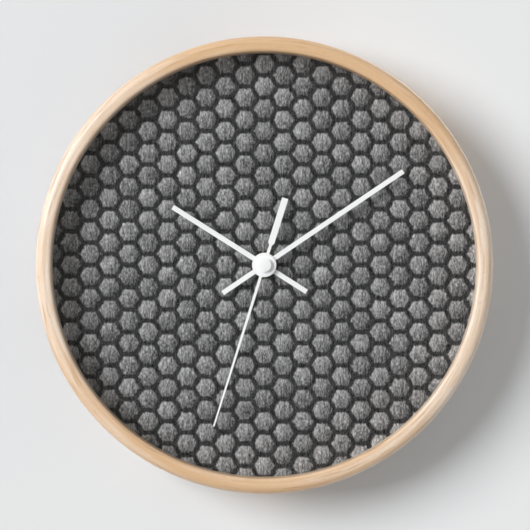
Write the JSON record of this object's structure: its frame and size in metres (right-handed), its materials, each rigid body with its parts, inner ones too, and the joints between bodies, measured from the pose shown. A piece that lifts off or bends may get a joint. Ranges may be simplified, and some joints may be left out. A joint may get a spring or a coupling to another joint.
{
  "type": "round wall clock",
  "caption": "Round analogue wall clock: pale wooden rim, clear lens, grey honeycomb dial, white stick hands, battery movement and hanger at the back.",
  "frame": {"origin": "on the hands' axis, in the plane of the rim's back face, which is the wall", "axes": "+Z towards twelve o'clock, +Y from the dial to the wall along the hands' axis, +X to the right as the dial is read"},
  "size_m": [0.254, 0.044, 0.254],
  "materials": {
    "rim_wood": "pale close-grained wood, satin lacquer",
    "lens_clear": "clear, polished",
    "dial_paper": "matte print, charcoal and grey honeycomb",
    "board_wood": "hardboard, smooth brown",
    "hand_white": "white satin paint",
    "zinc_steel": "zinc plated, satin",
    "movement_black": "fine matte moulding",
    "knob_black": "satin moulding",
    "gear_plastic": "natural, smooth",
    "bush_brass": "turned",
    "rubber_black": "matte",
    "contact_steel": "nickel plated spring steel",
    "copper_wire": "enamelled copper winding",
    "magnet_ferrite": "sintered, dull",
    "core_iron": "soft iron sheet",
    "board_green": "green circuit laminate",
    "chip_black": "black epoxy",
    "battery_steel": "nickel plated",
    "battery_sleeve": "printed film without lettering"
  },
  "bodies": {
    "clock": {"wooden_rim": "rim_wood", "lens": "lens_clear", "spacer_ring": "rim_wood", "dial_print": "dial_paper", "dial_board": "board_wood", "rubber_washer": "rubber_black", "dial_washer": "bush_brass", "threaded_bush": "bush_brass", "hex_nut": "bush_brass", "hanger_bracket": "zinc_steel", "movement_case": "movement_black", "movement_cover": "movement_black", "train_plate": "gear_plastic", "stator": "core_iron", "coil_core": "core_iron", "coil_bobbin": "gear_plastic", "coil_winding": "copper_wire", "circuit_board": "board_green", "circuit_chip": "chip_black", "quartz_crystal": "contact_steel", "contact_positive": "contact_steel", "contact_negative": "contact_steel", "board_point_1": "zinc_steel", "board_point_2": "zinc_steel", "board_point_3": "zinc_steel", "board_point_4": "zinc_steel", "board_point_5": "zinc_steel", "board_point_6": "zinc_steel", "board_point_7": "zinc_steel", "board_point_8": "zinc_steel"},
    "battery": {"battery_cell": "battery_steel", "battery_wrap": "battery_sleeve"},
    "rotor": {"rotor_magnet": "magnet_ferrite", "rotor_pinion": "gear_plastic"},
    "intermediate": {"intermediate_wheel": "gear_plastic"},
    "seconds": {"second_wheel": "gear_plastic", "second_arbor": "contact_steel", "second_hand": "hand_white", "second_collet": "bush_brass", "centre_cap": "hand_white"},
    "third": {"third_wheel": "gear_plastic"},
    "centre": {"centre_wheel": "gear_plastic"},
    "minutes": {"minute_tube": "bush_brass", "clutch_spring": "contact_steel", "minute_hand": "hand_white"},
    "stud": {"motion_stud": "contact_steel"},
    "setting": {"motion_wheel": "gear_plastic", "setting_knob": "knob_black"},
    "washer": {"hour_washer": "contact_steel"},
    "hours": {"hour_wheel": "gear_plastic", "hour_hand": "hand_white"}
  },
  "joints": [
    {"name": "second_spin", "type": "hinge", "parent": "clock", "child": "seconds", "pos_m": [0, 0, 0], "axis": [0, 1, 0], "continuous": true},
    {"name": "rotor_spin", "type": "hinge", "parent": "clock", "child": "rotor", "pos_m": [-0.01247, 0, 0.0072], "axis": [0, 1, 0], "continuous": true},
    {"name": "intermediate_spin", "type": "hinge", "parent": "clock", "child": "intermediate", "pos_m": [-0.00624, 0, 0.0036], "axis": [0, 1, 0], "continuous": true},
    {"name": "third_spin", "type": "hinge", "parent": "clock", "child": "third", "pos_m": [0.00624, 0, 0.0036], "axis": [0, 1, 0], "continuous": true},
    {"name": "centre_spin", "type": "hinge", "parent": "clock", "child": "centre", "pos_m": [0, 0, 0], "axis": [0, 1, 0], "continuous": true},
    {"name": "stud_spin", "type": "hinge", "parent": "clock", "child": "stud", "pos_m": [0, 0, 0.0105], "axis": [0, 1, 0], "continuous": true},
    {"name": "washer_spin", "type": "hinge", "parent": "clock", "child": "washer", "pos_m": [0, 0, 0], "axis": [0, 1, 0], "continuous": true},
    {"name": "clutch_slip", "type": "hinge", "parent": "centre", "child": "minutes", "pos_m": [0, 0, 0], "axis": [0, 1, 0], "continuous": true},
    {"name": "setting_spin", "type": "hinge", "parent": "stud", "child": "setting", "pos_m": [0, 0, 0.0105], "axis": [0, 1, 0], "continuous": true},
    {"name": "hour_spin", "type": "hinge", "parent": "washer", "child": "hours", "pos_m": [0, 0, 0], "axis": [0, 1, 0], "continuous": true},
    {"name": "battery_slide", "type": "slide", "parent": "clock", "child": "battery", "axis": [0, 1, 0], "range_m": [0, 0.022]}
  ],
  "couplings": [
    {"joint": "rotor_spin", "follows": "second_spin", "ratio": 30},
    {"joint": "intermediate_spin", "follows": "second_spin", "ratio": -5},
    {"joint": "third_spin", "follows": "second_spin", "ratio": -0.13333},
    {"joint": "centre_spin", "follows": "second_spin", "ratio": 0.016667},
    {"joint": "stud_spin", "follows": "second_spin", "ratio": -0.0055556},
    {"joint": "washer_spin", "follows": "second_spin", "ratio": 0.0013889},
    {"joint": "setting_spin", "follows": "clutch_slip", "ratio": -0.33333},
    {"joint": "hour_spin", "follows": "clutch_slip", "ratio": 0.083333}
  ]
}
